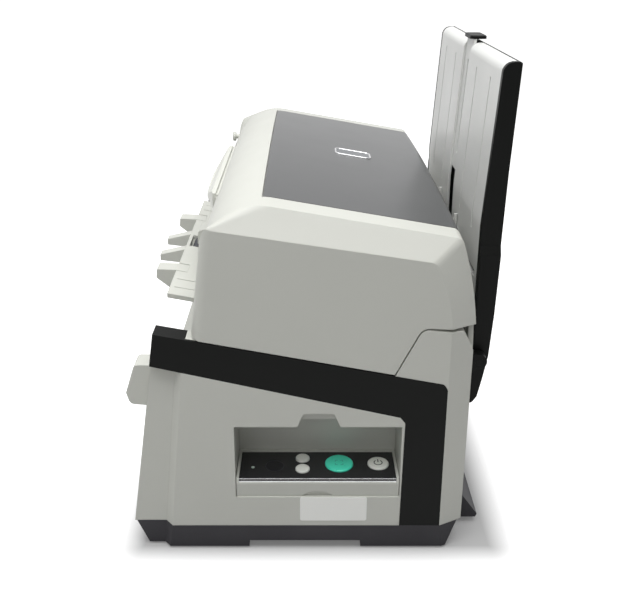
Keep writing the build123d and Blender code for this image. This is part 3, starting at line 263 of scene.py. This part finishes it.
def plastic(name, colour, rough, mottle=0.03, speckle=0.03, grain=0.2, grain_scale=1400.0,
            edge=0.7 * MM, specular=0.5, coat=0.0, wear=0.05):
    """Moulded plastic: slightly cloudy colour, fine speckle, a sparked grain and soft edges."""
    material, tree, shader = start(name)
    colour = tone(colour)
    clouds = remap(tree, noise(tree, *CLOUDS), 0.0, 1.0)
    base = blend(tree, "RGBA", clouds, shaded(colour, 1 - mottle), shaded(colour, 1 + mottle))
    fine = noise(tree, grain_scale, FINE_DETAIL)
    dots = remap(tree, fine, 0.0, speckle, SPECKLE_BAND)
    base = blend(tree, "RGBA", dots, base, shaded(colour, SPECKLE_SHADE))
    tree.links.new(base, shader.inputs["Base Color"])
    worn = remap(tree, noise(tree, *PLASTIC_WEAR), rough - wear, rough + wear)
    tree.links.new(worn, shader.inputs["Roughness"])
    shader.inputs["Specular IOR Level"].default_value = specular
    shader.inputs["Coat Weight"].default_value = coat
    rounded_bump(tree, shader, fine, grain, GRAIN_DEPTH, edge)
    return material


def rubber(name, colour, rough=0.75):
    """Matt rubber: as plastic, with a coarser grain and less shine."""
    return plastic(name, colour, rough, mottle=0.08, speckle=0.08, grain=0.35, grain_scale=700.0,
                   edge=0.5 * MM, specular=0.3)


def metal(name, colour, rough, brush=(1.0, 1.0, 1.0), brush_scale=300.0, grain=0.12, edge=0.4 * MM):
    """Metal with a fine grain, which brush draws out along an axis, and patchy gloss."""
    material, tree, shader = start(name)
    colour = tone(colour)
    lines = noise(tree, brush_scale, FINE_DETAIL, stretched(tree, brush))
    dark, pale = (shaded(colour, shade) for shade in BRUSH_SHADES)
    base = blend(tree, "RGBA", remap(tree, lines, 0.0, 1.0), dark, pale)
    tree.links.new(base, shader.inputs["Base Color"])
    shader.inputs["Metallic"].default_value = 1.0
    worn = remap(tree, noise(tree, *METAL_WEAR), rough - METAL_WEAR_DOWN, rough + METAL_WEAR_UP)
    tree.links.new(worn, shader.inputs["Roughness"])
    rounded_bump(tree, shader, lines, grain, BRUSH_DEPTH, edge)
    return material


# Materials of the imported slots

def light_shell():
    """Pale warm-grey moulded housing."""
    return plastic("light_shell", "C6C7C0", 0.46, mottle=0.012, grain=0.1, grain_scale=1900.0, edge=1.2 * MM)


def black_shell():
    """Near black of the side bands and the tray's back."""
    return plastic("black_shell", "101110", 0.42, mottle=0.06, speckle=0.1, grain_scale=1500.0,
                   edge=0.9 * MM, specular=0.1, wear=0.02)


def base_black():
    """Rougher black of the base pan and the rear skirt, with a coarser spark texture."""
    return plastic("base_black", "343337", 0.6, mottle=0.08, speckle=0.16, grain=0.45, grain_scale=800.0,
                   edge=1 * MM, specular=0.3)


def foot_rubber():
    """Dark rubber of the feet."""
    return rubber("foot_rubber", "2A2A2A")


def dark_top():
    """Smooth dark panel on the cover, with an even satin gloss."""
    return plastic("dark_top", "454647", 0.3, mottle=0.012, grain=0.03, grain_scale=1700.0,
                   edge=0.6 * MM, wear=0.008)


def handle_light():
    """Pale moulding of the pull handle, smoother than the housing."""
    return plastic("handle_light", "CFD0C8", 0.4, mottle=0.015, grain=0.1, edge=1.2 * MM)


def panel_gloss():
    """Black face film under a clear gloss."""
    return plastic("panel_gloss", "232325", 0.18, mottle=0.04, grain=0.03, grain_scale=2600.0,
                   edge=0.4 * MM, specular=0.35, coat=0.25)


def panel_metal():
    """Bright polished trim, with fine streaks along the key panel."""
    return metal("panel_metal", "D8D8DA", 0.12, brush=(1.0, 40.0, 40.0), brush_scale=80.0, grain=0.05,
                 edge=0.3 * MM)


def badge_satin():
    """Satin plate, brushed along the slope of the cover."""
    return metal("badge_satin", "85888C", 0.35, brush=(1.0, 60.0, 1.0), brush_scale=120.0, grain=0.1,
                 edge=0.0)


def display_glass():
    """Dark window of the display."""
    return plastic("display_glass", "090A12", 0.3, mottle=0.1, speckle=0.02, grain=0.01,
                   edge=0.3 * MM, coat=0.3)


def lamp_lens():
    """Pale green lens of the lamp."""
    return plastic("lamp_lens", "B9C9BE", 0.15, mottle=0.05, speckle=0.02, grain=0.02,
                   edge=0.3 * MM, coat=0.5)


def start_green():
    """Bright green of the start key, under a light gloss."""
    return plastic("start_green", "50F2CE", 0.3, mottle=0.02, speckle=0.05, grain=0.08,
                   edge=0.6 * MM, coat=0.15)


def button_grey():
    """Pale grey of the other keys."""
    return plastic("button_grey", "F0F1EA", 0.36, mottle=0.02, speckle=0.04, grain=0.08, edge=0.6 * MM)


def circuit_board():
    """Green board with a grid of paler traces."""
    material, tree, shader = start("circuit_board")
    bricks = tree.nodes.new("ShaderNodeTexBrick")
    bricks.inputs["Scale"].default_value = 160.0
    bricks.inputs["Mortar Size"].default_value = 0.03
    bricks.inputs["Color1"].default_value = tone("1E5A30")
    bricks.inputs["Color2"].default_value = tone("24663A")
    bricks.inputs["Mortar"].default_value = tone("5E9A57")
    tree.links.new(place(tree), bricks.inputs["Vector"])
    tree.links.new(bricks.outputs["Color"], shader.inputs["Base Color"])
    shader.inputs["Roughness"].default_value = 0.35
    rounded_bump(tree, shader, bricks.outputs["Fac"], strength=0.2, depth=GRAIN_DEPTH, edge=0.3 * MM)
    return material


def scan_glass():
    """Clear strip of glass with a slight smear."""
    material, tree, shader = start("scan_glass")
    smear = remap(tree, noise(tree, *GLASS_SMEAR), *GLASS_ROUGH)
    tree.links.new(smear, shader.inputs["Roughness"])
    shader.inputs["Base Color"].default_value = tone("E4F0EC")
    shader.inputs["Transmission Weight"].default_value = 0.9
    shader.inputs["IOR"].default_value = 1.5
    return material


def dark_moulding(name):
    """Plain dark grey plastic of the inner parts."""
    return plastic(name, "3A3B3D", 0.38, mottle=0.04, speckle=0.06, grain=0.12, edge=0.4 * MM)


def guide_black():
    """Dark paper guides."""
    return dark_moulding("guide_black")


def scan_body():
    """Dark bodies of the scan units."""
    return dark_moulding("scan_body")


def guide_grey():
    """Pale grey of the tray's side guides."""
    return plastic("guide_grey", "D5D6D2", 0.42, mottle=0.02, speckle=0.04, grain=0.1, edge=0.5 * MM)


def tray_light():
    """Pale tray face, a little smoother than the housing."""
    return plastic("tray_light", "DEDFDC", 0.36, mottle=0.02, grain=0.08, grain_scale=2000.0, edge=1 * MM)


def roller_rubber():
    """Grey rubber of the rollers, a little smoother than the feet."""
    return rubber("roller_rubber", "4B4C50", 0.7)


def belt_rubber():
    """Dark rubber of the drive belt."""
    return rubber("belt_rubber", "232323")


def motor_metal():
    """Dull grey metal of the motor and its pulley."""
    return metal("motor_metal", "6E7073", 0.38, brush=(60.0, 1.0, 60.0), brush_scale=60.0)


def supply_metal():
    """Plated case of the power supply."""
    return metal("supply_metal", "B4B6B8", 0.42, brush=(1.0, 30.0, 1.0), brush_scale=90.0)


def frame_steel():
    """Plated steel of the side frames."""
    return metal("frame_steel", "B9BCBE", 0.36, brush=(1.0, 1.0, 40.0), brush_scale=60.0)


def pin_steel():
    """Turned steel of the hinge pins and screws."""
    return metal("pin_steel", "C0C2C4", 0.28)


def connector_black():
    """Black moulding of the power inlet."""
    return plastic("connector_black", "1C1C1D", 0.4)


def connector_metal():
    """Plated shields of the interface sockets."""
    return metal("connector_metal", "C4C5C7", 0.25)


MATERIALS = {
    "light_shell": light_shell, "black_shell": black_shell, "base_black": base_black,
    "foot_rubber": foot_rubber, "dark_top": dark_top, "handle_light": handle_light,
    "panel_gloss": panel_gloss, "panel_metal": panel_metal, "badge_satin": badge_satin,
    "display_glass": display_glass, "lamp_lens": lamp_lens, "start_green": start_green,
    "button_grey": button_grey, "circuit_board": circuit_board, "scan_glass": scan_glass,
    "guide_black": guide_black, "scan_body": scan_body, "guide_grey": guide_grey,
    "tray_light": tray_light, "roller_rubber": roller_rubber, "belt_rubber": belt_rubber,
    "motor_metal": motor_metal, "supply_metal": supply_metal, "frame_steel": frame_steel,
    "pin_steel": pin_steel, "connector_black": connector_black, "connector_metal": connector_metal,
}


def dress_frame():
    """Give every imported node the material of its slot, and return the materials by slot."""
    made = {}
    for entry in frame["record"]["subparts"]:
        slot = entry["material_slot"]
        if slot not in made:
            made[slot] = MATERIALS[slot]()
        mesh = frame["nodes"][entry["node"]].data
        mesh.materials.clear()
        mesh.materials.append(made[slot])
    return made


# Shapes of the small pieces

def add_mesh(name, points, faces, material, body):
    """New piece that rides on a body."""
    mesh = bpy.data.meshes.new(name)
    mesh.from_pydata([tuple(p) for p in points], [], faces)
    mesh.update()
    made = bpy.data.objects.new(name, mesh)
    bpy.context.scene.collection.objects.link(made)
    mesh.materials.append(material)
    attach(made, body)
    return made


def top_middle(node):
    """Middle of the top of a node's box."""
    low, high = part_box(node)
    return Vector(((low.x + high.x) / 2, (low.y + high.y) / 2, high.z))


def rounded_rectangle(width, height, radius, steps=6):
    """Outline with its corners as arcs."""
    points = []
    for side_x, side_y, turn in ((1, 1, 0), (-1, 1, 90), (-1, -1, 180), (1, -1, 270)):
        for i in range(steps + 1):
            angle = math.radians(turn + 90 * i / steps)
            points.append((side_x * (width / 2 - radius) + radius * math.cos(angle),
                           side_y * (height / 2 - radius) + radius * math.sin(angle)))
    return points


def ring_faces(here, there, count):
    """Faces between two closed rings of points, which start at these two numbers."""
    return [[here + k, here + (k + 1) % count, there + (k + 1) % count, there + k] for k in range(count)]


def plate_faces(count):
    """Faces of a plate whose bottom ring of points comes before its top one."""
    bottom = list(range(count))
    return [bottom[::-1], [count + i for i in bottom]] + ring_faces(0, count, count)


def thin_plate(name, outline, centre, axes, thick, material, body):
    """Thin plate with this outline over two axes, standing out along the third."""
    across, up, outward = axes
    low = [centre + across * x + up * y for x, y in outline]
    high = [p + outward * thick for p in low]
    return add_mesh(name, low + high, plate_faces(len(outline)), material, body)


def bar(centre, half_x, half_y, thick):
    """Level bar that stands on the height of its centre."""
    points = [centre + Vector((side_x * half_x, side_y * half_y, height))
              for height in (0, thick) for side_x, side_y in FOUR_CORNERS]
    return points, plate_faces(len(FOUR_CORNERS))


def arc_band(centre, radius, width, start_at, end_at, thick, steps=28):
    """Level flat arc between two angles, which stands on the height of its centre."""
    # Each step has four points: inner low, inner high, outer low, outer high
    points = []
    for i in range(steps + 1):
        angle = math.radians(start_at + (end_at - start_at) * i / steps)
        for r in (radius - width / 2, radius + width / 2):
            for height in (0, thick):
                points.append(centre + Vector((r * math.cos(angle), r * math.sin(angle), height)))
    faces = []
    for a in range(0, steps * 4, 4):
        faces += [[a + 1, a + 3, a + 7, a + 5], [a, a + 4, a + 6, a + 2],
                  [a, a + 1, a + 5, a + 4], [a + 2, a + 6, a + 7, a + 3]]
    end = steps * 4
    faces += [[0, 2, 3, 1], [end, end + 1, end + 3, end + 2]]
    return points, faces


# Small pieces

def sticker():
    """Bare white sticker under the key shelf."""
    paper = plastic("sticker_paper", "F4F5F1", 0.42, mottle=0.015, grain=0.06, grain_scale=900.0,
                    edge=0.2 * MM)
    outline = rounded_rectangle(*STICKER_SIZE, STICKER_CORNER)
    centre = Vector((STICKER_AT[0], SIDE_Y, STICKER_AT[1]))
    axes = Vector((1, 0, 0)), Vector((0, 0, 1)), Vector((0, -1, 0))
    thin_plate("rating_sticker", outline, centre, axes, STICKER_THICK, paper, "base")


def power_symbol():
    """Broken ring and stroke printed on the power key."""
    ink = plastic("symbol_ink", "4A4B4A", 0.5, edge=0.0)
    centre = top_middle("power_button")
    ring = arc_band(centre, POWER_RADIUS, POWER_LINE, 90 + POWER_GAP, 450 - POWER_GAP, POWER_INK)
    stroke_at = centre + Vector((0, POWER_STROKE_OUT, 0))
    stroke = bar(stroke_at, POWER_LINE / 2, POWER_STROKE / 2, POWER_INK)
    for name, (points, faces) in (("power_symbol_ring", ring), ("power_symbol_stroke", stroke)):
        add_mesh(name, points, faces, ink, "power_key")


def start_symbol():
    """Plain open frame of four corner strokes, a little darker than the start key."""
    ink = plastic("start_ink", "39B296", 0.45, edge=0.0)
    centre = top_middle("start_button")
    half_long, half_wide = START_STROKE / 2, START_LINE / 2
    for index, (side_x, side_y) in enumerate(FOUR_CORNERS):
        corner = centre + Vector((side_x * START_HALF, side_y * START_HALF, 0))
        for way, half_x, half_y in (("x", half_long, half_wide), ("y", half_wide, half_long)):
            inwards = Vector((-side_x * (half_x - half_wide), -side_y * (half_y - half_wide), 0))
            points, faces = bar(corner + inwards, half_x, half_y, FINE_INK)
            add_mesh(f"start_symbol_{way}{index}", points, faces, ink, "start_key")


def badge_place():
    """Centre of the badge, with the directions along, across and out of the sloped panel."""
    low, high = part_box("badge_inset")
    along = Vector((1.0, 0.0, -PANEL_FALL)).normalized()
    outward = Vector((PANEL_FALL, 0.0, 1.0)).normalized()
    return (low + high) / 2 + outward * BADGE_RISE, (along, Vector((0, 1, 0)), outward)


def badge_outline(inset):
    """The badge's outline, moved in by a distance."""
    width, height = (size - 2 * inset for size in BADGE_SIZE)
    return rounded_rectangle(width, height, BADGE_CORNER - inset)


def badge(materials):
    """Bright raised rim with rounded corners round a bare satin plate."""
    centre, axes = badge_place()
    along, across, outward = axes
    points, faces = [], []
    count = len(badge_outline(0.0))
    for i, (inset, height) in enumerate(BADGE_RIM):
        lift = outward * (height * MM)
        points += [centre + along * x + across * y + lift for x, y in badge_outline(inset * MM)]
        faces += ring_faces(i * count, (i + 1) % len(BADGE_RIM) * count, count)
    ring = add_mesh("badge_rim", points, faces, materials["panel_metal"], "cover")
    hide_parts("badge_frame")
    plate_at = centre - outward * BADGE_PLATE_DEEP
    plate = thin_plate("badge_plate", badge_outline(BADGE_PLATE_IN), plate_at, axes, BADGE_PLATE_THICK,
                       materials["badge_satin"], "cover")
    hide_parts("badge_inset")


def panel_edge(materials):
    """Dark glossy front edge of the key panel between two bright metal hairlines, which are painted
    highlights on its lower and upper edges.
    """
    gloss = plastic("panel_edge", "1A1A1C", 0.14, mottle=0.04, grain=0.02, edge=0.3 * MM, coat=0.6)
    frame["nodes"]["panel_trim"].data.materials[0] = gloss
    low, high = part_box("panel_trim")
    # The two bright metal hairlines are painted highlights on the front edge's lower and upper edges
    lines = (("panel_highlight_low", low.z, LOW_HIGHLIGHT_LINE), ("panel_highlight_high", high.z - HIGH_HIGHLIGHT_LINE, HIGH_HIGHLIGHT_LINE))
    for name, z, thick in lines:
        centre = Vector(((low.x + high.x) / 2, low.y, z))
        points, faces = bar(centre, (high.x - low.x) / 2, LINE_PROUD, thick)
        add_mesh(name, points, faces, materials["panel_metal"], "base")


def display_ring():
    """Fine ring along the edge of the display window."""
    ink = plastic("ring_ink", "3C3D44", 0.4, edge=0.0)
    low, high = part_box("panel_display")
    radius = (high.x - low.x) / 2 - DISPLAY_LINE_IN
    points, faces = arc_band(top_middle("panel_display"), radius, DISPLAY_LINE, 0, 360, FINE_INK, 48)
    add_mesh("display_ring", points, faces, ink, "base")


# Floor, light and camera

def away_from_object(tree):
    """Distance over the floor from the object's footprint, which sets where the floor's painted shade fades
    out.
    """
    value = place(tree)
    for operation, other in (("ABSOLUTE", None), ("SUBTRACT", SHADE_FOOTPRINT_HALF), ("MAXIMUM", (0, 0, 0))):
        step = tree.nodes.new("ShaderNodeVectorMath")
        step.operation = operation
        tree.links.new(value, step.inputs[0])
        if other:
            step.inputs[1].default_value = other
        value = step.outputs["Vector"]
    measure = tree.nodes.new("ShaderNodeVectorMath")
    measure.operation = "LENGTH"
    tree.links.new(value, measure.inputs[0])
    return measure.outputs["Value"]


def floor_white():
    """Pale floor that glows white away from the object, keeps a painted shade near its footprint, and is
    clear from below.
    """
    material, tree, shader = start("floor_white")
    shader.inputs["Base Color"].default_value = (FLOOR_ALBEDO, FLOOR_ALBEDO, FLOOR_ALBEDO, 1)
    shader.inputs["Roughness"].default_value = FLOOR_ROUGH
    shader.inputs["Specular IOR Level"].default_value = FLOOR_SPECULAR
    shader.inputs["Emission Color"].default_value = (1, 1, 1, 1)
    seen = rays_of(tree, ("Is Camera Ray", "Is Glossy Ray", "Is Transmission Ray"))
    # Glow held low near the footprint: a painted shade round the object, where the floor's real shadow also
    # shows
    glow_over_painted_shade = remap(tree, away_from_object(tree), *FLOOR_GLOW, FLOOR_GLOW_REACH)
    tree.links.new(combined(tree, "MULTIPLY", seen, glow_over_painted_shade), shader.inputs["Emission Strength"])
    clear = tree.nodes.new("ShaderNodeBsdfTransparent")
    either = tree.nodes.new("ShaderNodeMixShader")
    from_below = tree.nodes.new("ShaderNodeNewGeometry").outputs["Backfacing"]
    tree.links.new(from_below, either.inputs["Fac"])
    tree.links.new(shader.outputs["BSDF"], either.inputs[1])
    tree.links.new(clear.outputs["BSDF"], either.inputs[2])
    tree.links.new(either.outputs[0], tree.nodes["Material Output"].inputs["Surface"])
    return material


def floor():
    """Wide level floor, just under the feet."""
    mesh = bpy.data.meshes.new("floor")
    mesh.from_pydata([(x * FLOOR_HALF, y * FLOOR_HALF, 0) for x, y in FOUR_CORNERS], [], [[0, 1, 2, 3]])
    mesh.materials.append(floor_white())
    ground = bpy.data.objects.new("floor", mesh)
    ground.location = (0, 0, -FLOOR_DROP)
    bpy.context.scene.collection.objects.link(ground)


def world():
    """White backdrop, with a dimmer room behind the camera for the gloss to show."""
    made = bpy.data.worlds.new("studio")
    bpy.context.scene.world = made
    made.use_nodes = True
    tree = made.node_tree
    parts = tree.nodes.new("ShaderNodeSeparateXYZ")
    tree.links.new(tree.nodes.new("ShaderNodeTexCoord").outputs["Generated"], parts.inputs[0])
    room = remap(tree, parts.outputs["Y"], ROOM_GLOSS, 1.0, ROOM_EDGE)
    lit = blend(tree, "FLOAT", rays_of(tree, ("Is Glossy Ray",)), AMBIENT, room)
    level = blend(tree, "FLOAT", rays_of(tree, ("Is Camera Ray", "Is Transmission Ray")), lit, 1.0)
    back = tree.nodes["Background"]
    back.inputs["Color"].default_value = (1, 1, 1, 1)
    tree.links.new(level, back.inputs["Strength"])


def area_light(name, at, aim, size, power, in_gloss):
    """Soft lamp that faces a point."""
    data = bpy.data.lights.new(name, "AREA")
    data.shape = "RECTANGLE"
    data.size, data.size_y = size
    data.energy = power
    made = bpy.data.objects.new(name, data)
    bpy.context.scene.collection.objects.link(made)
    made.visible_glossy = in_gloss
    made.location = at
    made.rotation_euler = (Vector(aim) - Vector(at)).to_track_quat("-Z", "Y").to_euler()


def camera():
    """Camera at the photograph's viewing angle."""
    data = bpy.data.cameras.new("camera")
    data.lens = CAMERA_LENS
    data.sensor_width = CAMERA_SENSOR
    data.shift_x, data.shift_y = CAMERA_SHIFT
    made = bpy.data.objects.new("camera", data)
    made.location = CAMERA_AT
    made.rotation_euler = (math.radians(90 - CAMERA_DOWN), 0, 0)
    bpy.context.scene.collection.objects.link(made)
    bpy.context.scene.camera = made


# The object's finish and its small pieces

slot_materials = dress_frame()
sticker()
power_symbol()
start_symbol()
badge(slot_materials)
panel_edge(slot_materials)
display_ring()

# The studio

floor()
world()
for lamp in LAMPS:
    area_light(*lamp)
camera()
bpy.context.scene.view_settings.view_transform = "Standard"

bpy.context.view_layer.update()
